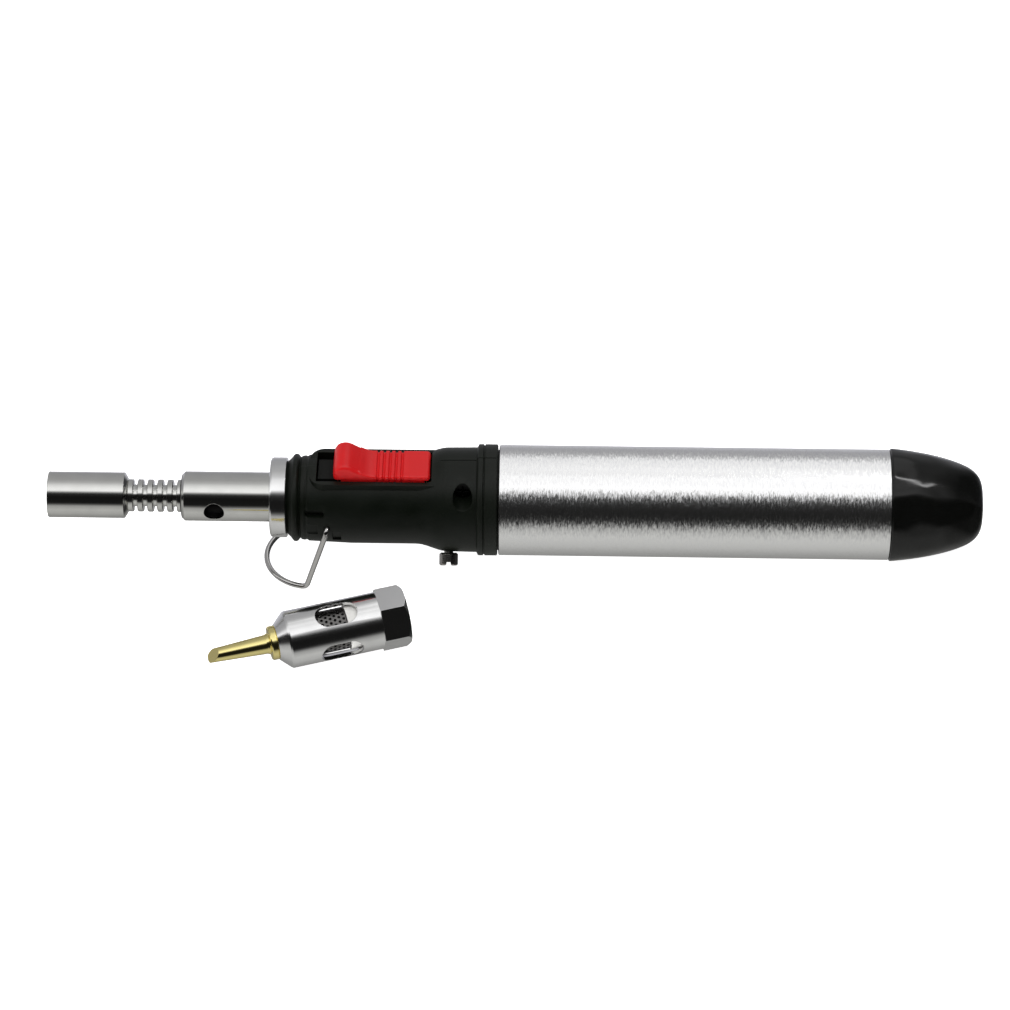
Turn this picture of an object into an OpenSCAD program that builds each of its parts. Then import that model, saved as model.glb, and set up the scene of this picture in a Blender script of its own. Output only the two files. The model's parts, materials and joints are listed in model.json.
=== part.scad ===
// Pen-shaped butane torch with a slide trigger, a wire stand and a loose soldering bit.
// Millimetres. The axis of the torch is X: the nozzle mouth is at the origin, +X runs
// to the tail and +Z is the trigger side.

/* [Burner] */
// Outer diameter of the flame nozzle
nozzle_d = 10; // [9.6:0.1:10.4]
// Length of the flame nozzle
nozzle_len = 17.3; // [17:0.1:17.6]
// Diameter over the cooling fins
fin_d = 7.1; // [6.6:0.1:7.6]
// Number of cooling fins
fin_count = 6; // [5:1:6]
// Outer diameter of the burner sleeve
burner_d = 10.8; // [10.4:0.1:11.2]
// Diameter of the cross air hole
air_hole_d = 4.4; // [3.6:0.1:4.8]
// Outer diameter of the front collar
collar_d = 17.4; // [17:0.1:17.8]

/* [Housing] */
// Diameter of the slim part of the housing
waist_d = 19.5; // [19.3:0.1:19.7]
// Diameter of the housing next to the tank sleeve
shoulder_d = 22.8; // [22.4:0.1:23]
// Width of the raised rim round the trigger
rim_w = 11.9; // [11.7:0.1:12.1]

/* [Trigger] */
// Width of the trigger
trigger_w = 8.96; // [8.6:0.02:9]
// How far the trigger slides forward
trigger_travel = 3; // [2.5:0.1:3]
// Number of grip ribs on the trigger
grip_ribs = 5; // [3:1:5]

/* [Tank] */
// Outer diameter of the tank sleeve
sleeve_d = 24; // [23.8:0.1:24]
// Length of the tank sleeve
sleeve_len = 84.6; // [84:0.1:84.6]
// Inner diameter of the refill well in the tail cap
refill_well_d = 6.4; // [6:0.1:6.8]

/* [Wire stand] */
// Wire diameter of the stand
wire_d = 1.2; // [1:0.05:1.2]
// Distance between the two legs at the pivot
leg_gap = 21; // [21:0.1:21.6]

/* [Soldering bit] */
// Diameter of the bit's barrel
barrel_d = 12.4; // [12.2:0.1:12.6]
// Width across the flats of the bit's nut
nut_af = 11.9; // [11.7:0.1:12]

/* [Hidden] */
round_n = 96;
small_n = 48;

// Stations along the axis
fins_start = nozzle_len;
fin_pitch = 2.15;
fin_w = 1.35;
fin_root_d = 4.75;
burner_start = 29.05;
collar_start = 48.4;
housing_start = 52;
electrode_z = 2.75;
insulator_d = 1.3;
trigger_front = 62.3;
trigger_rear = 83.2;
opening_start = trigger_front - trigger_travel - 0.7;
opening_end = trigger_rear + 0.3;
sleeve_start = 98;
sleeve_end = sleeve_start + sleeve_len;
tail_end = 202.7;
well_floor = 198.6;

// Bores shared by neighbouring pieces
nozzle_bore_d = 8.3;
spigot_d = 4.2;
gauze_d = 8.9;
mixing_bore_d = 7.2;
stem_d = 2.2;
valve_body_d = 9.2;
plug_bore_d = 9.2;

// Trigger opening and the works under it
opening_w = 9.5;
rim_top = 9;
rim_front = opening_start - 1.5;
rim_rear = 86;
skirt_in = 3.4;
skirt_low = 3.9;
pusher_low = 5.2;
lever_x = 77.7;
lever_z = -5.5;
lever_t = 0.8;
lever_pin_d = 1.5;
adjuster_x = 87.2;
adjuster_turn = 138;
screw_x = 90.3;
screw_z = 7.6;
screw_seat = 4.2;
screw_head_h = 1.4;
tube_d = 3.6;

// Wire stand
pivot_x = 61;
pivot_z = -0.5;
foot_x = 56.1;
foot_z = -17;
foot_half = 10.2;
foot_reach = 9.2;
foot_r = (foot_reach * foot_reach + foot_half * foot_half) / (2 * foot_reach);

// The flat on which the stand's foot, the tail cap and the soldering bit lie
rest_drop = 17.6;
rest_slope = 2.415;

// Soldering bit: where its middle lies, and its lengths from the tip
bit_at = [57.5, -31.6];
bit_yaw = 16;
tip_len = 13.6;
flange_len = 1.5;
cone_len = 2.25;
barrel_end = 37.6;
bit_end = 43.6;
window_start = 23.7;
window_len = 9.2;
window_w = 5.3;

// Turn of the tip's face, of the windows and of the nut about the bit's own axis
bit_face_turn = 15;
bit_window_turn = 13;
bit_nut_turn = 30;

// Turns a profile of [radius, distance along X] points about the X axis
module turned(profile) {
    rotate([0, 90, 0]) rotate_extrude($fn = round_n) polygon(profile);
}

// A rod along X from x0 to x1, with a bore where bore_d is given
module rod(x0, x1, d, bore_d = 0) {
    translate([x0, 0, 0]) rotate([0, 90, 0]) difference() {
        cylinder(h = x1 - x0, d = d, $fn = round_n);
        if (bore_d > 0) {
            translate([0, 0, -1]) cylinder(h = x1 - x0 + 2, d = bore_d, $fn = round_n);
        }
    }
}

// A rod along Y, centred on y = 0
module cross_rod(x, z, len, d) {
    translate([x, 0, z]) rotate([90, 0, 0]) cylinder(h = len, d = d, center = true, $fn = small_n);
}

// A ring of round section about the X axis
module o_ring(x, ring_r, section_r) {
    translate([x, 0, 0]) rotate([0, 90, 0]) rotate_extrude($fn = round_n)
        translate([ring_r, 0]) circle(r = section_r, $fn = 24);
}

// A coil spring about the X axis, from x0 to x1
function coil_ring(x, turn_r, wire_r, turn, sides) = [
    for (s = [0 : sides - 1])
        let (a = 360 * s / sides, r = turn_r + wire_r * sin(a))
        [x + wire_r * cos(a), r * cos(turn), r * sin(turn)]
];
module coil(x0, x1, turn_r, wire_r, turns, per_turn = 12, sides = 6) {
    rings = turns * per_turn;
    length = x1 - x0 - 2 * wire_r;
    points = [
        for (k = [0 : rings])
            each coil_ring(x0 + wire_r + length * k / rings, turn_r, wire_r, 360 * k / per_turn, sides)
    ];
    walls = [
        for (k = [0 : rings - 1], s = [0 : sides - 1])
            let (t = (s + 1) % sides, a = k * sides, b = a + sides)
            each [[a + s, a + t, b + t], [a + s, b + t, b + s]]
    ];
    first = [for (s = [1 : sides - 2]) [0, s + 1, s]];
    last = [for (s = [1 : sides - 2]) let (b = rings * sides) [b, b + s, b + s + 1]];
    polyhedron(points, concat(walls, first, last));
}

// Straight wire between two points, with a ball at its far end where ball is true
module wire(a, b, d, ball = true) {
    run = b - a;
    flat = norm([run[0], run[1]]);
    translate(a) rotate([0, atan2(flat, run[2]), atan2(run[1], run[0])])
        cylinder(h = norm(run), d = d, $fn = small_n);
    if (ball) translate(b) sphere(d = d + 0.04, $fn = small_n);
}

// ---- Burner ----

module flame_nozzle() {
    color("silver") turned([
        [nozzle_bore_d / 2 + 0.25, 0], [nozzle_d / 2 - 0.12, 0], [nozzle_d / 2, 0.12],
        [nozzle_d / 2, nozzle_len - 0.7], [3.9, nozzle_len], [spigot_d / 2, nozzle_len],
        [spigot_d / 2, 13.6], [gauze_d / 2, 13.6], [gauze_d / 2, 11.8],
        [nozzle_bore_d / 2, 11.8], [nozzle_bore_d / 2, 0.25]
    ]);
}

module flame_gauze() {
    color("dimgray") difference() {
        rod(12, 12.6, gauze_d);
        rod(11, 14, 0.9);
        for (ring = [1, 2, 3]) {
            for (k = [0 : 6 * ring - 1]) {
                rotate([60 * k / ring, 0, 0]) translate([0, 0, 1.15 * ring]) rod(11, 14, 0.8);
            }
        }
    }
}

module finned_tube() {
    color("silver") difference() {
        union() {
            rod(14, 31.4, spigot_d);
            rod(nozzle_len, burner_start, fin_root_d);
            for (k = [0 : fin_count - 1]) {
                a = fins_start + fin_pitch * k;
                b = min(a + fin_w, burner_start);
                turned([
                    [1.6, a], [fin_d / 2 - 0.2, a], [fin_d / 2, a + 0.2],
                    [fin_d / 2, b - 0.2], [fin_d / 2 - 0.2, b], [1.6, b]
                ]);
            }
        }
        rod(12, 33, 2.6);
    }
}

module burner_sleeve() {
    burner_r = burner_d / 2;
    color("silver") difference() {
        turned([
            [spigot_d / 2, burner_start], [burner_r - 0.7, burner_start], [burner_r, burner_start + 0.7],
            [burner_r, 54], [mixing_bore_d / 2, 54], [mixing_bore_d / 2, 32.5], [spigot_d / 2, 31.5]
        ]);
        cross_rod(36.3, 0, 2 * burner_d, air_hole_d);
    }
}

module collar() {
    collar_r = collar_d / 2;
    color("silver") turned([
        [burner_d / 2, collar_start], [collar_r - 0.55, collar_start], [collar_r - 0.16, collar_start + 0.16],
        [collar_r, collar_start + 0.55], [collar_r, housing_start - 0.15], [collar_r - 0.15, housing_start],
        [6.6, housing_start], [6.6, 56], [burner_d / 2, 56]
    ]);
}

module injector_jet() {
    color("gold") turned([
        [0.25, 41], [1.1, 41], [1.9, 41.9], [1.9, 44], [1.2, 44], [1.2, 46], [0.25, 46]
    ]);
}

module gas_block() {
    color("goldenrod") difference() {
        union() {
            turned([
                [1.2, 44], [1.9, 44], [1.9, 54], [5.4, 54], [5.4, 56], [1.9, 56], [1.9, 57.8],
                [1.2, 57.8], [1.2, 60.5], [0.5, 60.5], [0.5, 46], [1.2, 46]
            ]);
        }
        translate([50, 0, electrode_z]) rotate([0, 90, 0]) cylinder(h = 10, d = insulator_d, $fn = small_n);
    }
}

module electrode() {
    color("gray") translate([33.4, 0, electrode_z]) rotate([0, 90, 0]) cylinder(h = 24.6, d = 0.7, $fn = 24);
}

module electrode_insulator() {
    color("ivory") translate([38.2, 0, electrode_z]) rotate([0, 90, 0]) difference() {
        cylinder(h = 19, d = insulator_d, $fn = small_n);
        translate([0, 0, -1]) cylinder(h = 21, d = 0.7, $fn = 24);
    }
}

module ignition_lead() {
    start = [58, 0, electrode_z];
    bend = [59.2, 0, electrode_z];
    top = [59.2, 0, 4.6];
    color("darkred") {
        wire(start, bend, 0.8);
        wire(bend, top, 0.8);
        wire(top, [60.5, 0, 4.6], 0.8, false);
    }
}

// ---- Housing ----

module housing_outline() {
    waist_r = waist_d / 2;
    shoulder_r = shoulder_d / 2;
    rise = shoulder_r - 0.1 - waist_r;
    polygon(concat(
        [[6.6, 52], [7.8, 52], [8.75, 53]],
        [for (a = [30 : 30 : 150]) [8.95 + 0.6 * sin(a), 53.95 - 0.6 * cos(a) * 1.2]],
        [[8.75, 54.9], [9.1, 55.3], [9.2, 55.9], [9.05, 56.4], [9.35, 56.8], [9.4, 57.6]],
        [[waist_r, 66], [waist_r, 80]],
        [for (t = [0.1 : 0.1 : 0.9]) [waist_r + rise * (1 - cos(180 * t)) / 2, 80 + 7 * t]],
        [[shoulder_r - 0.1, 87], [shoulder_r, 93.2], [12, 93.5], [12.1, 93.7], [12.1, 94.6]],
        [[11.85, 94.7], [11.85, 94.9], [12.1, 95], [12.1, 97.55], [11.9, 97.7], [10.9, 97.7], [10.9, 104.6]],
        [[9.7, 104.6], [9.7, 87], [8, 80], [8, 57.8], [4.6, 57.8], [4.6, 56], [6.6, 56]]
    ));
}

module rim_outline() {
    corner_r = 3.2;
    half_w = rim_w / 2;
    length = rim_rear - rim_front;
    translate([rim_front, corner_r - half_w]) square([length, rim_w - 2 * corner_r]);
    translate([rim_front + corner_r, -half_w]) square([length - corner_r, rim_w]);
    for (side = [-1, 1]) {
        translate([rim_front + corner_r, side * (half_w - corner_r)]) circle(r = corner_r, $fn = small_n);
    }
}

// A shallow pocket in each side of the housing, at an angle below the middle
module side_pockets(x0, x1, angle, width) {
    floor_r = 9.1;
    for (side = [-1, 1]) {
        rotate([side * (90 + angle), 0, 0]) translate([x0, -width / 2, floor_r]) cube([x1 - x0, width, 3]);
    }
}

module housing_whole() {
    difference() {
        union() {
            rotate([0, 90, 0]) rotate_extrude($fn = round_n) housing_outline();
            // Raised rim round the trigger, open below to the inside
            difference() {
                linear_extrude(height = rim_top) rim_outline();
                rod(50, 90, 16.4);
            }
            // Rib that holds the valve body
            rod(83.9, 85.4, 18.4);
            // Bosses for the lever pin and for the housing screw
            for (side = [-1, 1]) {
                translate([0, side * 4.9, 0]) cross_rod(lever_x, lever_z, 3, 3.6);
            }
            intersection() {
                cross_rod(screw_x, screw_z, 18, 5.4);
                rod(87, 93, 20.4);
            }
        }
        // Opening for the trigger
        translate([opening_start, -opening_w / 2, 3.5])
            cube([opening_end - opening_start, opening_w, 20]);
        // Bore for the valve body and clearance behind it
        rod(80, 105, valve_body_d);
        // Adjuster hole
        translate([adjuster_x, 0, 0]) rotate([adjuster_turn, 0, 0])
            cylinder(h = 20, d = 2.6, $fn = small_n);
        // Pivot holes of the wire stand, with a pocket ahead of and a detent behind each
        cross_rod(pivot_x, pivot_z, 40, wire_d + 0.1);
        side_pockets(56.4, 59, 6, 2.8);
        side_pockets(62.1, 64, 19, 3.2);
        // Groove along the parting line of the two halves
        difference() {
            translate([50, -0.09, -15]) cube([47.5, 0.18, 30]);
            rod(40, 83.5, waist_d - 0.6);
            rod(83.4, 110, shoulder_d - 0.9);
        }
        // Lever pin and screw holes
        cross_rod(lever_x, lever_z, 12.4, lever_pin_d);
        cross_rod(screw_x, screw_z, 16, 1.9);
        translate([screw_x, -screw_seat, screw_z]) rotate([90, 0, 0])
            cylinder(h = 12, d = 4.25, $fn = small_n);
        // Cooling slots beside the front beads
        for (side = [-1, 1]) {
            translate([56.9, side * 9.2, 3.05]) rotate([90, 0, 0])
                linear_extrude(height = 2.4, center = true) {
                    translate([0, -0.75]) square([2.8, 1.5]);
                    circle(d = 1.5, $fn = 24);
                    translate([2.8, 0]) circle(d = 1.5, $fn = 24);
                }
        }
    }
}

module housing_left() {
    color("#1c1d1e") intersection() {
        housing_whole();
        translate([40, -30, -30]) cube([80, 30, 60]);
    }
}

module housing_right() {
    color("#1c1d1e") intersection() {
        housing_whole();
        translate([40, 0, -30]) cube([80, 30, 60]);
    }
}

module housing_screw() {
    color("silver") translate([screw_x, 0, screw_z]) rotate([90, 0, 0]) difference() {
        union() {
            translate([0, 0, -7.4]) cylinder(h = 7.4 + screw_seat + 0.2, d = 1.9, $fn = small_n);
            translate([0, 0, screw_seat]) cylinder(h = screw_head_h, d = 3.9, $fn = small_n);
        }
        for (turn = [0, 90]) {
            rotate([0, 0, turn]) translate([-1.3, -0.25, screw_seat + 0.6]) cube([2.6, 0.5, 2]);
        }
    }
}

module lever_pin() {
    color("silver") cross_rod(lever_x, lever_z, 12, lever_pin_d);
}

// ---- Trigger and ignition ----

// Side view of the thumb piece: a round bump, a hollow slope and a flat ribbed back
module trigger_profile() {
    top = 10.2;
    base = 9.3;
    bump_r = 2.5;
    bump_z = 10.3;
    polygon(concat(
        [[trigger_front + 0.2, base], [trigger_front, base + 0.2]],
        [for (a = [180 : -15 : 60]) [trigger_front + bump_r + bump_r * cos(a), bump_z + bump_r * sin(a)]],
        [[67.2, 11.85], [68.4, 11.1], [69.6, 10.5], [71, top], [trigger_rear - 0.4, top]],
        [[trigger_rear, top - 0.35], [trigger_rear, base + 0.3], [trigger_rear - 0.5, base]]
    ));
}

module trigger() {
    rib_start = 71.9;
    rib_pitch = 1.2;
    skirt_out = trigger_w / 2;
    color("#d91f26") {
        difference() {
            rotate([90, 0, 0]) linear_extrude(height = trigger_w, center = true) trigger_profile();
            for (k = [0 : grip_ribs - 1]) {
                translate([rib_start + rib_pitch * k, 0, 10.35]) rotate([90, 0, 0])
                    cylinder(h = 20, d = 0.7, center = true, $fn = 24);
            }
        }
        // Skirts, the retaining flanges and the two cross walls below the thumb piece
        for (side = [-1, 1]) {
            translate([64, side * (skirt_in + skirt_out) / 2 - (skirt_out - skirt_in) / 2, skirt_low])
                cube([18, skirt_out - skirt_in, 9.4 - skirt_low]);
            translate([64, side * 4.7 - 1.1, skirt_low]) cube([18, 2.2, 0.8]);
        }
        translate([75, -skirt_in - 0.1, 2.6]) cube([1.2, 2 * skirt_in + 0.2, 6.8]);
        translate([78.6, -skirt_in - 0.1, pusher_low]) cube([1.4, 2 * skirt_in + 0.2, 9.4 - pusher_low]);
    }
}

module piezo_body() {
    deck_w = 6.3;
    color("black") difference() {
        union() {
            translate([60.5, -2.6, 2.2]) cube([11, 5.2, 5.2]);
            // Deck that closes the trigger's opening from below
            translate([58.9, -deck_w / 2, 7.2]) cube([12.6, deck_w, 1.1]);
        }
        translate([0, 0, 4.6]) rod(61.5, 72, 3.8);
    }
}

module piezo_plunger() {
    color("white") translate([0, 0, 4.6]) rod(66.5, 74.7, 3.6);
}

module piezo_spring() {
    color("silver") translate([0, 0, 4.6]) coil(61.6, 66.4, 1.4, 0.2, 5);
}

// ---- Gas valve ----

module valve_lever() {
    color("silver") difference() {
        union() {
            translate([lever_x - lever_t / 2, -2.9, lever_z]) cube([lever_t, 5.8, 12]);
            cross_rod(lever_x, lever_z, 5.8, 3);
        }
        cross_rod(lever_x, lever_z, 8, lever_pin_d + 0.1);
        translate([lever_x - 2, -1.35, -2.3]) cube([4, 2.7, 4.6]);
    }
}

module valve_stem() {
    color("gold") difference() {
        union() {
            rod(70.5, 88, stem_d);
            rod(76, 76.6, 4);
            rod(78.8, 79.4, 4);
            rod(88, 88.8, 3.6);
        }
        rod(69, 84, 0.8);
    }
}

module valve_spring() {
    color("silver") coil(89, 94.8, 1.4, 0.2, 5);
}

module valve_body() {
    color("goldenrod") difference() {
        union() {
            turned([
                [stem_d / 2 + 0.1, 81.2], [3.8, 81.2], [valve_body_d / 2, 82], [valve_body_d / 2, 100],
                [0.6, 100], [0.6, 95], [2, 95], [2, 85.8], [stem_d / 2 + 0.1, 85.8]
            ]);
        }
        o_ring(83.4, 1.55, 0.5);
        translate([adjuster_x, 0, 0]) rotate([adjuster_turn, 0, 0]) {
            cylinder(h = 10, d = 2.1, $fn = small_n);
            translate([0, 0, 3.4]) cylinder(h = 10, d = 3.4, $fn = small_n);
        }
    }
}

module valve_seal() {
    color("#222222") difference() {
        o_ring(83.4, 1.55, 0.48);
        rod(80, 87, stem_d + 0.04);
    }
}

module gas_tube() {
    color("#3a3a3a") rod(57.8, 73.8, tube_d, 2.4);
}

module flow_adjuster() {
    color("silver") translate([adjuster_x, 0, 0]) rotate([adjuster_turn, 0, 0]) difference() {
        union() {
            translate([0, 0, 2.5]) cylinder(h = 9.3, d = 2, $fn = small_n);
            rotate_extrude($fn = small_n) polygon([
                [0, 11.6], [1.7, 11.6], [2.04, 11.9], [2.04, 14.1], [1.75, 14.4], [0, 14.4]
            ]);
        }
        translate([0, 0, 14.5]) rotate([90, 0, 0])
            linear_extrude(height = 6, center = true)
                polygon([
                    [-1.05, 0.2], [-0.55, -0.25], [-0.45, -0.85], [0.45, -0.85], [0.55, -0.25], [1.05, 0.2]
                ]);
    }
}

module adjuster_seal() {
    color("#222222") translate([adjuster_x, 0, 0]) rotate([adjuster_turn, 0, 0])
        difference() {
            translate([0, 0, 3.45]) cylinder(h = 0.8, d = 3.36, $fn = small_n);
            translate([0, 0, 3]) cylinder(h = 2, d = 2.06, $fn = small_n);
        }
}

// ---- Wire stand ----

module stand_bail() {
    side_y = leg_gap / 2;
    color("silver") {
        for (side = [-1, 1]) {
            pivot = [pivot_x, side * side_y, pivot_z];
            wire([pivot_x, side * 8.4, pivot_z], pivot, wire_d);
            wire(pivot, [foot_x, side * foot_half, foot_z], wire_d);
        }
        half_turn = asin(foot_half / foot_r);
        translate([foot_x - foot_reach + foot_r, 0, foot_z])
            rotate([0, 0, 180 - half_turn])
                rotate_extrude(angle = 2 * half_turn, $fn = round_n)
                    translate([foot_r, 0]) circle(d = wire_d, $fn = 24);
    }
}

// ---- Tank ----

module tank_plug() {
    color("#c9c9c4") difference() {
        turned([
            [plug_bore_d / 2, 98.6], [9.65, 98.6], [9.65, 105], [9.4, 105], [9.4, 106], [8.5, 106],
            [8.5, 107.1], [9.4, 107.1], [9.4, 108.4], [1.6, 108.4], [1.6, 100], [plug_bore_d / 2, 100]
        ]);
    }
}

module tank_seal() {
    color("#222222") o_ring(106.55, 8.98, 0.42);
}

module fuel_tank() {
    color("#dfe3e2") turned([
        [9.42, 105], [10.5, 105], [10.5, 175.6], [9.5, 177], [1.9, 177], [1.9, 175.6], [9, 175.6], [9.42, 175]
    ]);
}

module wick() {
    color("white") rod(100.2, 168, 3);
}

module tank_sleeve() {
    sleeve_r = sleeve_d / 2;
    color("#c8c8ca") turned([
        [10.95, sleeve_start], [sleeve_r - 0.2, sleeve_start], [sleeve_r, sleeve_start + 0.2],
        [sleeve_r, sleeve_end - 0.2], [sleeve_r - 0.2, sleeve_end], [10.95, sleeve_end]
    ]);
}

module tail_cap() {
    well_r = refill_well_d / 2;
    color("#0c0c0d") turned([
        [10.9, 177.6], [10.9, 182.65], [12, 182.65], [12.26, 182.95], [12.1, 184.6],
        [11.96, 185.9], [11.78, 187.5], [11.54, 189.2], [11.25, 190.8], [10.9, 192.4],
        [10.52, 194], [10.07, 195.7], [9.5, 197.4], [8.8, 199], [8.25, 200],
        [7.84, 200.7], [7.28, 201.3], [6.7, 201.85], [5.95, 202.25], [5, 202.5],
        [4.2, tail_end], [well_r + 0.4, tail_end], [well_r, tail_end - 0.4], [well_r, well_floor],
        [2.8, well_floor], [2.8, 184], [4.6, 184], [4.6, 196.4], [7.2, 195.2], [9.2, 190],
        [9.7, 184], [9.7, 177.6]
    ]);
}

module refill_valve() {
    color("gold") turned([
        [0.95, 175.8], [1.9, 175.8], [1.9, 177], [2.8, 177], [2.8, well_floor], [1.1, well_floor],
        [1.1, 193], [2.1, 193], [2.1, 184], [0.95, 184]
    ]);
}

module refill_stem() {
    color("silver") difference() {
        union() {
            rod(186.6, well_floor - 0.1, 2);
            rod(190, 191.6, 3.8);
        }
        rod(194, 200, 0.8);
    }
}

module refill_spring() {
    color("silver") coil(184.1, 189.9, 1.4, 0.2, 5);
}

module refill_seal() {
    color("#222222") rod(191.8, 192.9, 4.1, 2.1);
}

// ---- Soldering bit ----

module place_bit() {
    lift = barrel_d / 2 / cos(rest_slope);
    bit_half = bit_end / 2;
    height = -rest_drop + tan(rest_slope) * (bit_at[0] - foot_x) + lift;
    translate([bit_at[0], bit_at[1], height])
        rotate([0, -rest_slope, 0]) rotate([0, 0, bit_yaw]) translate([-bit_half, 0, 0]) children();
}

module bit_tip() {
    color("gold") place_bit() difference() {
        turned([
            [0, 0], [1.15, 0], [1.45, 0.25], [2.1, tip_len - 0.8], [2.35, tip_len - 0.2], [3.5, tip_len],
            [3.7, tip_len + 0.25], [3.7, tip_len + flange_len - 0.2], [3.5, tip_len + flange_len],
            [2.6, tip_len + flange_len], [2.6, 20.2], [0, 20.2]
        ]);
        // Slanted working face
        rotate([bit_face_turn, 0, 0]) rotate([0, -50, 0])
            translate([-6, -4, -0.86]) cube([12, 8, 8]);
    }
}

module bit_barrel() {
    barrel_r = barrel_d / 2;
    cone_start = tip_len + flange_len;
    cone_end = cone_start + cone_len;
    color("silver") place_bit() difference() {
        turned([
            [2.6, cone_start], [3.9, cone_start], [barrel_r - 0.25, cone_end - 0.1],
            [barrel_r, cone_end + 0.3], [barrel_r, barrel_end], [5.3, barrel_end], [5.3, 20.2], [2.6, 20.2]
        ]);
        for (k = [0 : 3]) {
            rotate([bit_window_turn + 90 * k, 0, 0]) translate([window_start, 0, 0])
                round_slot(window_len, window_w, 10);
        }
    }
}

// A straight slot with round ends, cut outwards along Z
module round_slot(length, width, depth) {
    linear_extrude(height = depth) {
        translate([width / 2, -width / 2]) square([length - width, width]);
        translate([width / 2, 0]) circle(d = width, $fn = 32);
        translate([length - width / 2, 0]) circle(d = width, $fn = 32);
    }
}

module bit_catalyst() {
    color("#8a8a86") place_bit() rod(21.7, 30.3, 9.2, 6);
}

module bit_spacer() {
    color("white") place_bit() rod(30.5, 37, 9.6, 6);
}

module bit_nut() {
    corner_d = nut_af / cos(30);
    color("silver") place_bit() intersection() {
        translate([barrel_end, 0, 0]) rotate([0, 90, 0]) rotate([0, 0, bit_nut_turn]) difference() {
            cylinder(h = bit_end - barrel_end, d = corner_d, $fn = 6);
            translate([0, 0, -1]) cylinder(h = 20, d = 8.6, $fn = small_n);
        }
        turned([
            [0, barrel_end], [corner_d / 2, barrel_end], [corner_d / 2, bit_end - 0.9],
            [corner_d / 2 - 0.9, bit_end], [0, bit_end]
        ]);
    }
}

flame_nozzle();
flame_gauze();
finned_tube();
burner_sleeve();
collar();
injector_jet();
gas_block();
electrode();
electrode_insulator();
ignition_lead();
housing_left();
housing_right();
housing_screw();
lever_pin();
trigger();
piezo_body();
piezo_plunger();
piezo_spring();
valve_lever();
valve_stem();
valve_spring();
valve_body();
valve_seal();
gas_tube();
flow_adjuster();
adjuster_seal();
stand_bail();
tank_plug();
tank_seal();
fuel_tank();
wick();
tank_sleeve();
tail_cap();
refill_valve();
refill_stem();
refill_spring();
refill_seal();
bit_tip();
bit_barrel();
bit_catalyst();
bit_spacer();
bit_nut();
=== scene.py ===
"""The looks of a pen-shaped butane torch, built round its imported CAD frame."""

import json
import math

import bmesh
import bpy
from mathutils import Matrix, Vector


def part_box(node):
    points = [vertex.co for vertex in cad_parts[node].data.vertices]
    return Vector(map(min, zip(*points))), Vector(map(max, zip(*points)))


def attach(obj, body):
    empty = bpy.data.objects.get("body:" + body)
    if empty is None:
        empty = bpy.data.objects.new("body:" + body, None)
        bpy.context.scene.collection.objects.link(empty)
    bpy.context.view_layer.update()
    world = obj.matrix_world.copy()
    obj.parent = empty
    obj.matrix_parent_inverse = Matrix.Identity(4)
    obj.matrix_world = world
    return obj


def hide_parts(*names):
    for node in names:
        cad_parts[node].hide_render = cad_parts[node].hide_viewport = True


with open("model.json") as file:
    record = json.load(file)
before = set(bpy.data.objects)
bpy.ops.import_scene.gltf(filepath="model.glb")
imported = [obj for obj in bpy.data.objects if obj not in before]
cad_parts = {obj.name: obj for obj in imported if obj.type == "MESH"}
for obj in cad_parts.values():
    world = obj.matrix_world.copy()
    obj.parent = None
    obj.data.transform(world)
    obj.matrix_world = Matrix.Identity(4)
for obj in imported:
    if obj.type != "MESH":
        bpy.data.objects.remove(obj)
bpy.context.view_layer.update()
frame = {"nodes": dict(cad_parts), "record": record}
MM = 0.001
NODES = frame["nodes"]
SLOT_OF = {row["node"]: row["material_slot"] for row in frame["record"]["subparts"]}

# The view: the torch lies across it, seen from 42 degrees above its left side
VIEW_TILT = math.radians(42)
TO_CAMERA = Vector((0, -math.cos(VIEW_TILT), math.sin(VIEW_TILT)))
UP_IN_VIEW = Vector((0, math.sin(VIEW_TILT), math.cos(VIEW_TILT)))

# Slope of the surface that the torch and its bit lie on: it rises towards the tail's end
REST_SLOPE = math.radians(2.415)
# Edges flatter than this are smooth on the pieces made here
SMOOTH_BELOW = math.radians(35)


# ---- Node helpers ----

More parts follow.
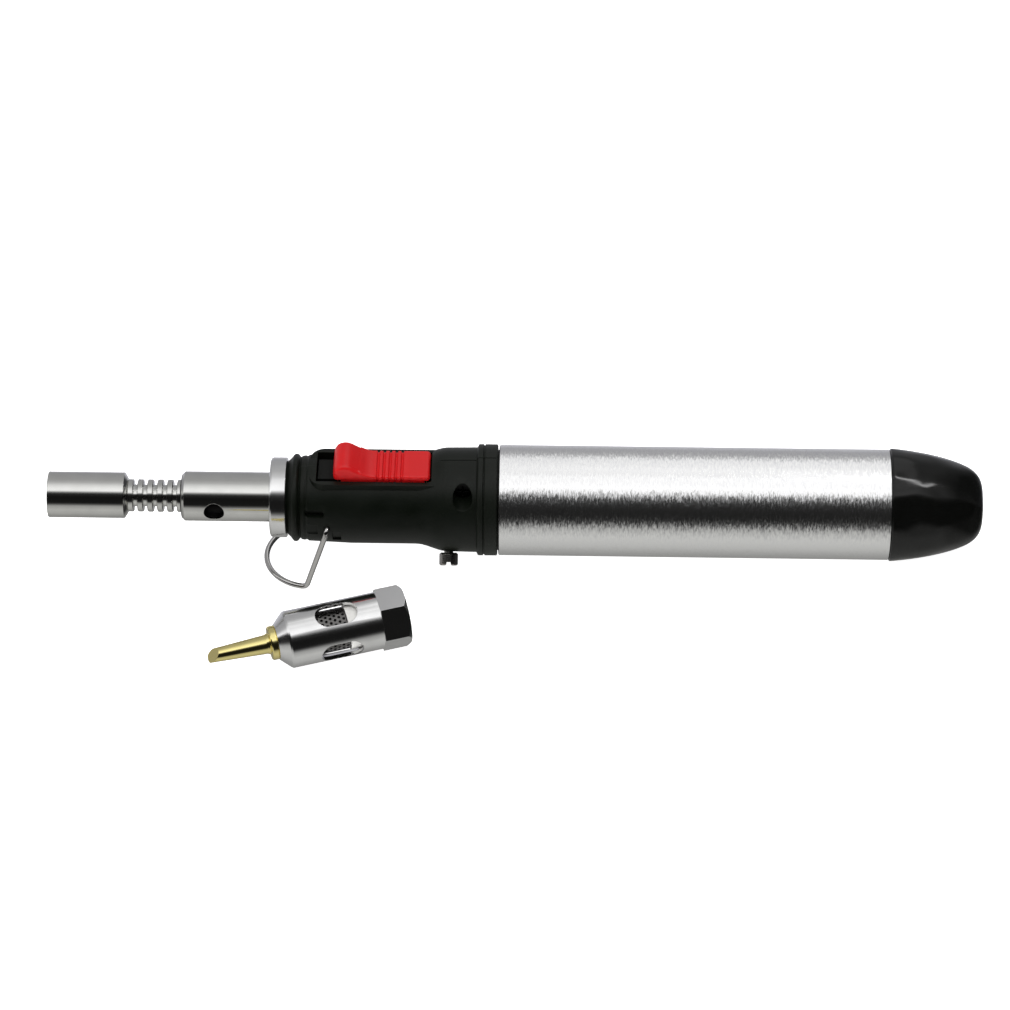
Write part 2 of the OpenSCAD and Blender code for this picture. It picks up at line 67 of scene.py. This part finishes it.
class Shader:
    """A material's node tree with short calls for the nodes used here.

    Settings that are the same all over a surface go straight on the shader's sockets."""

    def __init__(self, name, **sockets):
        self.material = bpy.data.materials.new(name)
        self.material.use_nodes = True
        self.tree = self.material.node_tree
        self.bsdf = self.tree.nodes["Principled BSDF"]
        for key, value in sockets.items():
            self.bsdf.inputs[key.replace("_", " ")].default_value = value
        self.place = self.node("TexCoord").outputs["Object"]

    def node(self, kind, **settings):
        made = self.tree.nodes.new("ShaderNode" + kind)
        for key, value in settings.items():
            setattr(made, key, value)
        return made

    def feed(self, socket, value):
        if isinstance(value, bpy.types.NodeSocket):
            self.tree.links.new(value, socket)
        else:
            socket.default_value = value

    def math(self, operation, a, b=0.0):
        made = self.node("Math", operation=operation)
        self.feed(made.inputs[0], a)
        self.feed(made.inputs[1], b)
        return made.outputs[0]

    def vector(self, operation, a, b=(0, 0, 0), out="Vector"):
        made = self.node("VectorMath", operation=operation)
        self.feed(made.inputs[0], a)
        self.feed(made.inputs[1], b)
        return made.outputs[out]

    def scaled(self, a, factor):
        made = self.node("VectorMath", operation="SCALE")
        self.feed(made.inputs[0], a)
        self.feed(made.inputs["Scale"], factor)
        return made.outputs["Vector"]

    def stretched(self, per_x, per_y, per_z):
        """Object coordinates in cells per metre along each axis."""
        return self.vector("MULTIPLY", self.place, (per_x, per_y, per_z))

    def noise(self, where, scale=1.0, detail=2.0, roughness=0.5):
        made = self.node("TexNoise")
        self.feed(made.inputs["Vector"], where)
        self.feed(made.inputs["Scale"], scale)
        self.feed(made.inputs["Detail"], detail)
        self.feed(made.inputs["Roughness"], roughness)
        return made.outputs[0]

    def ranged(self, value, low, high, to_low, to_high):
        made = self.node("MapRange")
        for socket, entry in zip(made.inputs, (value, low, high, to_low, to_high)):
            self.feed(socket, entry)
        return made.outputs[0]

    def mixed(self, factor, a, b):
        made = self.node("Mix", data_type="RGBA")
        self.feed(made.inputs["Factor"], factor)
        self.feed(made.inputs[6], a)
        self.feed(made.inputs[7], b)
        return made.outputs[2]

    def bump(self, height, strength, distance, normal=None):
        """A normal from a height pattern, whose full depth is a distance in metres."""
        made = self.node("Bump")
        self.feed(made.inputs["Strength"], strength)
        self.feed(made.inputs["Distance"], distance)
        self.feed(made.inputs["Height"], height)
        if normal is not None:
            self.feed(made.inputs["Normal"], normal)
        return made.outputs[0]

    def rounded(self, radius):
        """A normal that rounds off hard edges by a radius in metres."""
        made = self.node("Bevel", samples=6)
        self.feed(made.inputs["Radius"], radius)
        return made.outputs[0]

    def edge_wear(self):
        """About 1 along sharp outer edges and 0 on flat stretches."""
        return self.ranged(self.node("NewGeometry").outputs["Pointiness"], 0.51, 0.58, 0.0, 1.0)

    def set(self, socket, value):
        self.feed(self.bsdf.inputs[socket], value)
        return self


# ---- Materials ----

# Colour of a burnt bore, and in metres the width of its rim, the depth of lathe lines and the
# radius of turned edges
SOOT = (0.035, 0.033, 0.032, 1)
SOOT_RIM = 0.0003
LATHE_LINE_DEPTH = 0.000006
EDGE_RADIUS = 0.00012


def turned_metal(name, tint, roughness, line_strength=0.25, dirt=0.06,
                 soot_radius=0.0, soot_end=0.06):
    """Bright turned metal: fine lathe lines round X, faint smudges and softened edges.

    Inside soot_radius of the X axis, and as far as soot_end, the bore is burnt dark."""
    s = Shader(name, Metallic=1.0)
    lines = s.noise(s.stretched(9000, 60, 60), detail=3.0)
    smudge = s.noise(s.stretched(260, 260, 260), detail=4.0)
    shade = s.ranged(smudge, 0.35, 0.7, 0.0, 1.0)
    colour = s.mixed(shade, (*tint, 1), (*[c * (1 - dirt) for c in tint], 1))
    rough = s.ranged(smudge, 0.3, 0.7, roughness * 0.85, roughness * 1.25)
    if soot_radius:
        radius = s.vector("LENGTH", s.vector("MULTIPLY", s.place, (0, 1, 1)), out="Value")
        along = s.vector("DOT_PRODUCT", s.place, (1, 0, 0), out="Value")
        soot = s.math("MULTIPLY", s.ranged(radius, soot_radius - SOOT_RIM, soot_radius, 1.0, 0.0),
                      s.math("LESS_THAN", along, soot_end))
        colour = s.mixed(soot, colour, SOOT)
        rough = s.math("ADD", rough, s.math("MULTIPLY", soot, 0.4))
    s.set("Base Color", colour).set("Roughness", rough)
    s.set("Normal", s.bump(lines, line_strength, LATHE_LINE_DEPTH, s.rounded(EDGE_RADIUS)))
    return s.material


def brushed_sleeve(name):
    """Aluminium brushed round the tube: each short stroke leans its own way round X."""
    s = Shader(name, Metallic=1.0)
    strokes = s.noise(s.stretched(3300, 900, 900), detail=3.0, roughness=0.6)
    fine = s.noise(s.stretched(9000, 1500, 1500), detail=2.0)
    lean = s.math("ADD", s.math("MULTIPLY", s.math("SUBTRACT", strokes, 0.5), 0.36),
                  s.math("MULTIPLY", s.math("SUBTRACT", fine, 0.5), 0.12))
    normal = s.node("NewGeometry").outputs["Normal"]
    around = s.vector("NORMALIZE", s.vector("CROSS_PRODUCT", (1, 0, 0), normal))
    leaned = s.vector("NORMALIZE", s.vector("ADD", normal, s.scaled(around, lean)))
    shade = s.ranged(strokes, 0.3, 0.7, 0.0, 1.0)
    s.set("Base Color", s.mixed(shade, (0.90, 0.90, 0.91, 1), (0.98, 0.98, 0.975, 1)))
    s.set("Roughness", s.ranged(fine, 0.3, 0.7, 0.19, 0.26))
    s.set("Normal", leaned)
    return s.material


def moulded_plastic(name, colour, roughness, specular, grain=0.12, edge=0.0002, worn=None):
    """Moulded plastic with a fine spark-eroded grain and edges worn a little lighter."""
    s = Shader(name, Specular_IOR_Level=specular)
    grain_noise = s.noise(s.stretched(5200, 5200, 5200), detail=2.0)
    patch = s.noise(s.stretched(140, 140, 140), detail=4.0)
    worn = worn or tuple(min(1.0, c * 1.5 + 0.004) for c in colour)
    tone = s.mixed(s.ranged(patch, 0.35, 0.7, 0.0, 0.35), (*colour, 1), (*worn, 1))
    s.set("Base Color", s.mixed(s.math("MULTIPLY", s.edge_wear(), 0.5), tone, (*worn, 1)))
    s.set("Roughness", s.ranged(patch, 0.3, 0.7, roughness * 0.88, roughness * 1.12))
    s.set("Normal", s.bump(grain_noise, grain, 0.00004, s.rounded(edge)))
    return s.material


def gloss_cap(name):
    """Glossy black moulding, slightly wavy, with faint scuffs that break its reflections."""
    s = Shader(name, Specular_IOR_Level=0.32)
    scuff = s.noise(s.stretched(700, 260, 260), detail=5.0, roughness=0.65)
    ripple = s.noise(s.stretched(95, 120, 120), detail=1.0)
    s.set("Base Color", s.mixed(scuff, (0.0022, 0.0024, 0.0022, 1), (0.0042, 0.0044, 0.0040, 1)))
    s.set("Roughness", s.ranged(scuff, 0.35, 0.75, 0.08, 0.15))
    s.set("Normal", s.bump(ripple, 1.0, 0.0012, s.rounded(0.0002)))
    return s.material


def plain_soft(name, colour, roughness, cells=1500, strength=0.3):
    """Rubber, felt or cast ceramic: a soft grain and a little unevenness of tone."""
    s = Shader(name)
    grain = s.noise(s.stretched(cells, cells, cells), detail=3.0)
    s.set("Base Color", s.mixed(grain, (*[c * 0.85 for c in colour], 1), (*colour, 1)))
    s.set("Roughness", s.ranged(grain, 0.3, 0.7, roughness * 0.9, min(1.0, roughness * 1.1)))
    s.set("Normal", s.bump(grain, strength, 0.00005))
    return s.material


STEEL_TINT = (0.72, 0.72, 0.70)

# One material for each material slot of the record
MATERIALS = {
    "polished_steel": turned_metal("polished_steel", STEEL_TINT, 0.11),
    "bright_alloy": turned_metal("bright_alloy", (0.86, 0.86, 0.86), 0.13),
    "catalyst_metal": turned_metal("catalyst_metal", (0.20, 0.195, 0.19), 0.26, dirt=0.3),
    "brass": turned_metal("brass", (0.80, 0.60, 0.28), 0.2),
    "wire_steel": turned_metal("wire_steel", (0.62, 0.62, 0.62), 0.2),
    "screw_black": turned_metal("screw_black", (0.03, 0.03, 0.03), 0.35, dirt=0.2),
    "screw_steel": turned_metal("screw_steel", (0.46, 0.44, 0.42), 0.22, dirt=0.2),
    "stand_steel": turned_metal("stand_steel", (0.62, 0.61, 0.60), 0.12, line_strength=0.1),
    "gold_plate": turned_metal("gold_plate", (0.96, 0.83, 0.36), 0.11),
    "bit_nickel": turned_metal("bit_nickel", (0.84, 0.84, 0.84), 0.14),
    "brushed_sleeve": brushed_sleeve("brushed_sleeve"),
    "housing_plastic": moulded_plastic("housing_plastic", (0.0022, 0.0036, 0.0018), 0.44, 0.24),
    # Inner parts: black like the housing, with half its specular. They are kept this dark so that the
    # opening ahead of the trigger looks shaded, so part of this darkness is painted shade.
    "inner_plastic": moulded_plastic("inner_plastic", (0.003, 0.0035, 0.003), 0.5, 0.12),
    "white_plastic": moulded_plastic("white_plastic", (0.75, 0.75, 0.72), 0.4, 0.5),
    "tank_plastic": moulded_plastic("tank_plastic", (0.72, 0.74, 0.74), 0.35, 0.5),
    "trigger_plastic": moulded_plastic("trigger_plastic", (0.60, 0.006, 0.008), 0.34, 0.35,
                                       worn=(0.68, 0.012, 0.014)),
    "cap_gloss": gloss_cap("cap_gloss"),
    "ceramic_white": plain_soft("ceramic_white", (0.88, 0.87, 0.84), 0.3, strength=0.1),
    "lead_black": plain_soft("lead_black", (0.02, 0.02, 0.02), 0.5, strength=0.1),
    "seal_rubber": plain_soft("seal_rubber", (0.02, 0.02, 0.02), 0.6),
    "wick_fibre": plain_soft("wick_fibre", (0.84, 0.83, 0.78), 0.9, cells=5000, strength=0.8),
}

# Burner pieces whose bores are burnt dark
SOOTED = {
    "flame_nozzle": turned_metal("nozzle_steel", STEEL_TINT, 0.11, soot_radius=0.0043,
                                 soot_end=0.0125),
    "burner_sleeve": turned_metal("burner_steel", STEEL_TINT, 0.11, soot_radius=0.0050),
    "electrode_insulator": turned_metal("sooted_ceramic", (0.30, 0.29, 0.27), 0.5,
                                        soot_radius=0.0050),
    "injector_jet": turned_metal("sooted_brass", (0.5, 0.4, 0.2), 0.3, soot_radius=0.0050),
    "electrode": turned_metal("sooted_wire", (0.3, 0.3, 0.3), 0.3, soot_radius=0.0050),
}

for node_name, node_object in NODES.items():
    node_object.data.materials.clear()
    node_object.data.materials.append(SOOTED.get(node_name) or MATERIALS[SLOT_OF[node_name]])


# ---- Pieces that stand for plainer CAD nodes ----

def add_piece(name, data, node, body):
    """Puts mesh or curve data in the scene as the finished look of one CAD node."""
    piece = bpy.data.objects.new(name, data)
    bpy.context.collection.objects.link(piece)
    data.materials.append(MATERIALS[SLOT_OF[node]])
    if isinstance(data, bpy.types.Mesh):
        data.shade_smooth()
        data.set_sharp_from_angle(angle=SMOOTH_BELOW)
    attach(piece, body)
    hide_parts(node)


def make_mesh(name, points, faces, weld=0.0):
    """A mesh with consistent normals, its points welded where they are closer than weld."""
    mesh = bpy.data.meshes.new(name)
    mesh.from_pydata(points, [], faces)
    work = bmesh.new()
    work.from_mesh(mesh)
    if weld:
        bmesh.ops.remove_doubles(work, verts=work.verts, dist=weld)
    bmesh.ops.recalc_face_normals(work, faces=work.faces)
    work.to_mesh(mesh)
    work.free()
    return mesh


def quads_between(a, b, count):
    """Faces that join two closed loops of points, which start at the indices a and b."""
    return [(a + k, a + (k + 1) % count, b + (k + 1) % count, b + k) for k in range(count)]


def skin_sections(name, sections):
    """A closed mesh through equal loops of points, given in millimetres."""
    count = len(sections[0])
    points = [Vector(point) * MM for section in sections for point in section]
    faces = [list(range(count - 1, -1, -1)), [len(points) - count + k for k in range(count)]]
    for row in range(len(sections) - 1):
        faces += quads_between(row * count, (row + 1) * count, count)
    return make_mesh(name, points, faces, weld=1e-7)


def lathe(name, profile, steps=160):
    """A closed ring turned about X from a closed profile of (x, radius) in millimetres."""
    count = len(profile)
    points, faces = [], []
    for step in range(steps):
        turn = math.tau * step / steps
        points += [Vector((x, r * math.cos(turn), r * math.sin(turn))) * MM for x, r in profile]
        faces += quads_between(step * count, (step + 1) % steps * count, count)
    return make_mesh(name, points, faces)


def bezier(controls, steps):
    """Points of the cubic curve with four control points, without its last one."""
    curve = []
    for step in range(steps):
        t = step / steps
        u = 1 - t
        weights = (u ** 3, 3 * u * u * t, 3 * u * t * t, t ** 3)
        curve.append(tuple(sum(w * p[axis] for w, p in zip(weights, controls)) for axis in (0, 1)))
    return curve


# -- Trigger: a shell with rounded shoulders, wrap-round grooves and guide skirts --

FRONT, REAR = 62.3, 83.2
BUMP_R, BUMP_Z, BACK_Z = 2.5, 10.3, 10.2
# The hollow slope joins the bump where it has turned this far past its front
BUMP_TURN = math.radians(60)
SLOPE_START, SLOPE_END = FRONT + BUMP_R * (1 + math.cos(BUMP_TURN)), 71.0
FRONT_R, REAR_R, REAR_TOP_R = 1.0, 0.8, 0.7
BUMP_SHOULDER_R, BACK_SHOULDER_R, BACK_SHOULDER_START = 1.05, 0.55, 68
HALF_W = 4.46
UNDERSIDE = 9.3
GROOVES = [71.9 + 1.3 * k for k in range(5)]
GROOVE_R = 0.34
# Guide skirts below the thumb piece, with a flange along each foot
SKIRT_START, SKIRT_END = 64.0, 82.0
SKIRT_LOW, FLANGE_TOP, FLANGE_HALF_W, INNER_HALF_W = 3.9, 4.7, 5.75, 3.4
# Cross walls between the skirts, as (start, end, height of the foot)
CROSS_WALLS = [(75.0, 76.2, 2.6), (78.6, 80.0, 5.2)]


def corner_drop(distance, radius):
    """How far a rounded corner has fallen back at a distance from the end face."""
    if distance >= radius:
        return 0.0
    return radius - math.sqrt(radius ** 2 - (radius - max(0.0, distance)) ** 2)


def trigger_top(x):
    """Height of the thumb piece's ridge: round bump, hollow slope, flat back."""
    if x <= SLOPE_START:
        return BUMP_Z + math.sqrt(max(0.0, BUMP_R ** 2 - (x - FRONT - BUMP_R) ** 2))
    if x >= SLOPE_END:
        return BACK_Z - corner_drop(REAR - x, REAR_TOP_R)
    t = (x - SLOPE_START) / (SLOPE_END - SLOPE_START)
    start_z = BUMP_Z + BUMP_R * math.sin(BUMP_TURN)
    fall = -(SLOPE_END - SLOPE_START) / math.tan(BUMP_TURN)
    return ((2 * t ** 3 - 3 * t * t + 1) * start_z + (t ** 3 - 2 * t * t + t) * fall
            + (3 * t * t - 2 * t ** 3) * BACK_Z)


def groove_depth(x):
    """Depth of the grip grooves at x, and 0 between them."""
    return max([0.0] + [GROOVE_R * (1 - ((x - centre) / GROOVE_R) ** 2) for centre in GROOVES
                        if abs(x - centre) < GROOVE_R])


def trigger_section(x, in_skirt):
    """Loop of points round the trigger at x: feet, sides, rounded shoulders and hollow."""
    cut = groove_depth(x)
    half = HALF_W - corner_drop(x - FRONT, FRONT_R) - corner_drop(REAR - x, REAR_R) - cut * 0.8
    top = trigger_top(x) - cut
    shoulder = BUMP_SHOULDER_R if x < BACK_SHOULDER_START else BACK_SHOULDER_R
    shoulder = min(shoulder, top - UNDERSIDE - 0.05)
    # Ahead of the skirts and behind them only a thin rim hangs down
    low, foot_top, foot = UNDERSIDE - 0.1, UNDERSIDE - 0.05, half
    if in_skirt:
        low, foot_top, foot = SKIRT_LOW, FLANGE_TOP, FLANGE_HALF_W
    ceiling = UNDERSIDE
    for start, end, foot_z in CROSS_WALLS:
        if start <= x <= end:
            ceiling = foot_z
    inner = min(INNER_HALF_W, half - 0.3)
    right = [(inner, low), (foot, low), (foot, foot_top), (half, foot_top)]
    right += [(half - shoulder + shoulder * math.cos(math.radians(a)),
               top - shoulder + shoulder * math.sin(math.radians(a))) for a in range(0, 91, 15)]
    left = [(-y, z) for y, z in reversed(right)]
    return [(x, y, z) for y, z in [(inner, ceiling)] + right + left + [(-inner, ceiling)]]


def make_trigger():
    """Sections close together at the rounded ends, the grooves and every step."""
    end_steps = (0, 0.03, 0.1, 0.2, 0.35, 0.55, 0.8)
    stations = {(round(FRONT + d, 3), False) for d in end_steps + (1.0, 1.2, 1.45)}
    stations |= {(round(REAR - d, 3), False) for d in end_steps}
    stations |= {(x, in_skirt) for x in (SKIRT_START, SKIRT_END) for in_skirt in (False, True)}
    stations |= {(round(64.3 + 0.3 * k, 3), True) for k in range(24)}
    stations |= {(round(centre + 0.085 * k, 3), True) for centre in GROOVES for k in range(-4, 5)}
    for start, end, _ in CROSS_WALLS:
        stations |= {(x, True) for x in (round(start - 0.001, 3), start, end, round(end + 0.001, 3))}
    stations |= {(78.9, True), (81, True)}
    # Where the skirts start and end, the section without them lies on the outer side
    middle = (FRONT + REAR) / 2
    order = sorted(stations, key=lambda s: (s[0], s[1] if s[0] < middle else not s[1]))
    mesh = skin_sections("trigger_shell", [trigger_section(x, skirt) for x, skirt in order])
    add_piece("trigger_shell", mesh, "trigger", "trigger")


# -- Wire stand: one bent wire with rounded corners --

def filleted(corners, radius, steps=8):
    """A path through the corners, each inner one rounded off."""
    path = [corners[0]]
    for before, corner, after in zip(corners, corners[1:], corners[2:]):
        start = corner + (before - corner).normalized() * radius
        end = corner + (after - corner).normalized() * radius
        path += [start.lerp(corner, k / steps).lerp(corner.lerp(end, k / steps), k / steps)
                 for k in range(steps + 1)]
    return path + [corners[-1]]


def make_stand():
    """From one pivot hole down a leg, round the foot's forward arc and up to the other."""
    wire_r, bend_r, arc_steps = 0.6, 1.2, 24
    pivot_x, pivot_z, leg_y, inner_y = 61.0, -0.5, 10.5, 8.4
    foot_x, foot_z, foot_y, reach = 56.1, -17.0, 10.2, 9.2
    arc_r = (reach ** 2 + foot_y ** 2) / (2 * reach)
    arc_x = foot_x - reach + arc_r
    half_turn = math.asin(foot_y / arc_r)
    arc = [Vector((arc_x - arc_r * math.cos(a), -arc_r * math.sin(a), foot_z))
           for a in (half_turn * k / arc_steps for k in range(arc_steps - 1, -1, -1))]
    near = [Vector((pivot_x, -inner_y, pivot_z)), Vector((pivot_x, -leg_y, pivot_z)),
            Vector((foot_x, -foot_y, foot_z)), arc[2]]
    half = filleted(near, bend_r)[:-1] + arc[3:]
    path = half + [Vector((p.x, -p.y, p.z)) for p in reversed(half[:-1])]
    curve = bpy.data.curves.new("stand_wire", "CURVE")
    curve.dimensions = "3D"
    curve.bevel_depth = wire_r * MM
    curve.bevel_resolution = 6
    curve.use_fill_caps = True
    spline = curve.splines.new("POLY")
    spline.points.add(len(path) - 1)
    for point, place in zip(spline.points, path):
        point.co = (*(place * MM), 1)
    spline.use_smooth = True
    add_piece("stand_wire", curve, "stand_bail", "stand")


# -- Tail cap: the bullet-shaped moulding with its refill well --

def make_tail_cap():
    """Profile from the joint with the sleeve over the dome, down the well and back inside."""
    outside = [(182.65, 11.95), (182.75, 12.12), (182.95, 12.24)]
    outside += bezier([(183.1, 12.24), (189.0, 11.73), (195.4, 10.48), (199.3, 8.6)], 36)
    outside += bezier([(199.3, 8.6), (201.1, 7.73), (202.5, 6.3), (202.7, 4.2)], 20)
    well = [(202.7, 4.2), (202.7, 3.6), (202.58, 3.35), (202.3, 3.2), (198.6, 3.2), (198.6, 2.8)]
    hollow = [(184, 2.8), (184, 4.6), (196.4, 4.6), (195.2, 7.2), (190, 9.2), (184, 9.7), (177.6, 9.7)]
    spigot = [(177.6, 10.9), (182.65, 10.9)]
    mesh = lathe("tail_cap_shell", outside + well + hollow + spigot)
    add_piece("tail_cap_shell", mesh, "tail_cap", "torch")


# -- The bit's catalyst drum: a perforated tube round a dark core --

# How far the soldering bit is turned about Z
BIT_YAW = math.radians(16)


def perforated_tube(name, length, radius, hole_r, rows, cells):
    """A thin tube about X, in millimetres: rows of cells with a round hole in each, every
    second row half a cell round."""
    step, turn_step = length / rows, math.tau / cells
    corners = [(1, 0), (1, 1), (0, 1), (-1, 1), (-1, 0), (-1, -1), (0, -1), (1, -1)]
    count = len(corners)
    points, faces = [], []
    for row in range(rows):
        for cell in range(cells):
            x0 = -length / 2 + (row + 0.5) * step
            turn0 = (cell + 0.5 * (row % 2)) * turn_step
            first = len(points)
            loop = [(x0 + a * step / 2, turn0 + b * turn_step / 2) for a, b in corners]
            for k in range(count):
                angle = math.tau * k / count
                loop.append((x0 + hole_r * math.cos(angle), turn0 + hole_r / radius * math.sin(angle)))
            points += [Vector((x, radius * math.cos(turn), radius * math.sin(turn))) * MM
                       for x, turn in loop]
            faces += quads_between(first, first + count, count)
    return make_mesh(name, points, faces, weld=1e-6)


def make_drum():
    """The drum at the CAD drum's place, lying the way the bit lies."""
    wall = 0.28
    mesh = perforated_tube("catalyst_drum", length=8.6, radius=4.55, hole_r=0.33, rows=9, cells=26)
    core = lathe("catalyst_core", [(-4.2, 3.1), (-4.2, 4.0), (4.2, 4.0), (4.2, 3.1)], 64)
    low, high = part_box("bit_catalyst")
    lay = Matrix.Translation((low + high) / 2)
    lay @= Matrix.Rotation(-REST_SLOPE, 4, "Y") @ Matrix.Rotation(BIT_YAW, 4, "Z")
    work = bmesh.new()
    work.from_mesh(mesh)
    bmesh.ops.solidify(work, geom=work.faces, thickness=wall * MM)
    drum_faces = len(work.faces)
    work.from_mesh(core)
    bpy.data.meshes.remove(core)
    work.faces.ensure_lookup_table()
    for face in work.faces[drum_faces:]:
        face.material_index = 1
    bmesh.ops.transform(work, matrix=lay, verts=work.verts)
    work.to_mesh(mesh)
    work.free()
    add_piece("catalyst_drum", mesh, "bit_catalyst", "soldering_bit")
    mesh.materials.append(plain_soft("catalyst_core", (0.012, 0.012, 0.012), 0.8))


make_trigger()
make_stand()
make_drum()
make_tail_cap()


# ---- Stage, light and camera ----

def make_floor():
    """A pale plane on which the stand's foot, the tail cap and the bit rest."""
    size = 3.0
    gap = 0.0002
    # The foot touches with its rear bends, this far behind its front
    foot_len = 0.009
    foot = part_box("stand_bail")[0]
    corners = []
    for x in (foot.x - size, foot.x + size):
        z = foot.z - gap + (x - foot.x - foot_len) * math.tan(REST_SLOPE)
        corners += [(x, -size, z), (x, size, z)]
    mesh = bpy.data.meshes.new("floor")
    mesh.from_pydata(corners, [], [(0, 2, 3, 1)])
    floor = bpy.data.objects.new("floor", mesh)
    bpy.context.collection.objects.link(floor)
    s = Shader("floor", Roughness=0.9)
    s.set("Base Color", (0.9, 0.9, 0.9, 1))
    s.set("Emission Color", (1, 1, 1, 1)).set("Emission Strength", 1.0)
    mesh.materials.append(s.material)
    floor.visible_glossy = False


# Brightness of the surroundings against height t on a bright cylinder that lies
# along X: 1 mirrors what is over its top edge, 0 its middle and -1 its lower edge.
SURROUNDINGS = [
    (-1.00, 0.26), (-0.92, 0.34), (-0.82, 0.48), (-0.66, 0.57), (-0.50, 0.42), (-0.43, 0.12),
    (-0.37, 0.012), (-0.10, 0.008), (0.02, 0.02), (0.07, 0.09), (0.11, 0.38), (0.17, 1.20),
    (0.28, 1.12), (0.40, 0.90), (0.52, 0.56), (0.64, 0.41), (0.86, 0.36), (0.94, 0.34),
    (1.00, 0.62),
]
# Share of blue: the lower surroundings are a little warm, and the topmost ones a little cool
WARM_BLUE, TOP_BLUE, TOP_START = 0.97, 1.07, 0.8
# How the surroundings darken past the tail, against how far a direction points along X
TAIL_FADE = {"From Min": 0.35, "From Max": 0.65, "To Min": 1.0, "To Max": 0.12}


def make_world():
    """A soft studio: bright overhead, a dark gap towards the viewer, dark past the tail."""
    world = bpy.data.worlds.new("studio")
    bpy.context.scene.world = world
    world.use_nodes = True
    tree = world.node_tree
    coords = tree.nodes.new("ShaderNodeTexCoord")

    def along(direction):
        dot = tree.nodes.new("ShaderNodeVectorMath")
        dot.operation = "DOT_PRODUCT"
        tree.links.new(coords.outputs["Generated"], dot.inputs[0])
        dot.inputs[1].default_value = direction
        return dot.outputs["Value"]

    def calc(operation, a, b=0.0):
        made = tree.nodes.new("ShaderNodeMath")
        made.operation = operation
        for socket, value in zip(made.inputs, (a, b)):
            if isinstance(value, float):
                socket.default_value = value
            else:
                tree.links.new(value, socket)
        return made.outputs[0]

    turn = calc("ARCTAN2", along(UP_IN_VIEW), along(TO_CAMERA))
    height = calc("SINE", calc("MULTIPLY", turn, 0.5))
    place = calc("ADD", calc("MULTIPLY", height, 0.5), 0.5)
    ramp = tree.nodes.new("ShaderNodeValToRGB")
    tree.links.new(place, ramp.inputs[0])
    stops = ramp.color_ramp.elements
    while len(stops) < len(SURROUNDINGS):
        stops.new(0.5)
    for stop, (t, light) in zip(stops, SURROUNDINGS):
        stop.position = (t + 1) / 2
        rise = max(0.0, t - TOP_START) / (1 - TOP_START)
        blue = WARM_BLUE if t < 0 else 1 + (TOP_BLUE - 1) * rise
        stop.color = (light, light, light * blue, 1)
    towards_tail = tree.nodes.new("ShaderNodeMapRange")
    tree.links.new(along((1, 0, 0)), towards_tail.inputs["Value"])
    for socket, value in TAIL_FADE.items():
        towards_tail.inputs[socket].default_value = value
    background = tree.nodes["Background"]
    tree.links.new(ramp.outputs[0], background.inputs["Color"])
    tree.links.new(towards_tail.outputs[0], background.inputs["Strength"])


# In metres and watts. The soft boxes light the plastics, and nothing mirrors them. The panels
# are there for the sleeve's bright band, and the strip for the cap's highlight.
LIGHTS = {
    "softbox_top": dict(place=(0.10, -0.12, 0.70), target=(0.10, 0, 0), size=(0.75, 0.45),
                        power=2.0, glossy=False),
    "softbox_left": dict(place=(-0.45, -0.35, 0.45), target=(0.08, 0, 0), size=(0.4, 0.4),
                         power=0.8, glossy=False),
    "sleeve_panel_wide": dict(place=(0.17, 0.245, 0.436), target=(0.16, 0, 0), size=(0.26, 0.64),
                              power=0.115, glossy=True),
    "sleeve_panel_high": dict(place=(0.17, 0.28, 0.414), target=(0.16, 0, 0), size=(0.26, 0.35),
                              power=0.075, glossy=True),
    "cap_strip": dict(place=(0.336, 0.028, 0.451), target=(0.288, -0.056, 0), size=(0.21, 0.02),
                      power=0.18, glossy=True),
}


def area_light(name, place, target, size, power, glossy):
    """A rectangular light that faces its target. With glossy off, nothing mirrors it."""
    light = bpy.data.lights.new(name, "AREA")
    light.shape = "RECTANGLE"
    light.size, light.size_y = size
    light.energy = power
    lamp = bpy.data.objects.new(name, light)
    lamp.location = place
    lamp.rotation_mode = "QUATERNION"
    lamp.rotation_quaternion = (Vector(target) - Vector(place)).to_track_quat("-Z", "Y")
    lamp.visible_glossy = glossy
    bpy.context.collection.objects.link(lamp)


def make_camera():
    """Long lens beside the torch, turned a little towards its nozzle."""
    distance, view_w, sensor_w = 0.975, 0.2195, 36
    # It stands square to the axis at foot_x and looks at aim_x, a little below the axis
    foot_x, aim_x = 0.1129, 0.0993
    lower = UP_IN_VIEW * 0.0011
    camera = bpy.data.objects.new("camera", bpy.data.cameras.new("camera"))
    camera.data.sensor_width = sensor_w
    camera.data.lens = sensor_w * distance / view_w
    camera.location = Vector((foot_x, 0, 0)) + TO_CAMERA * distance - lower
    aim = Vector((aim_x, 0, 0)) - lower
    camera.rotation_mode = "QUATERNION"
    camera.rotation_quaternion = (aim - camera.location).to_track_quat("-Z", "Y")
    bpy.context.collection.objects.link(camera)
    bpy.context.scene.camera = camera


make_floor()
make_world()
for light_name, settings in LIGHTS.items():
    area_light(light_name, **settings)
make_camera()
bpy.context.scene.view_settings.view_transform = "Standard"
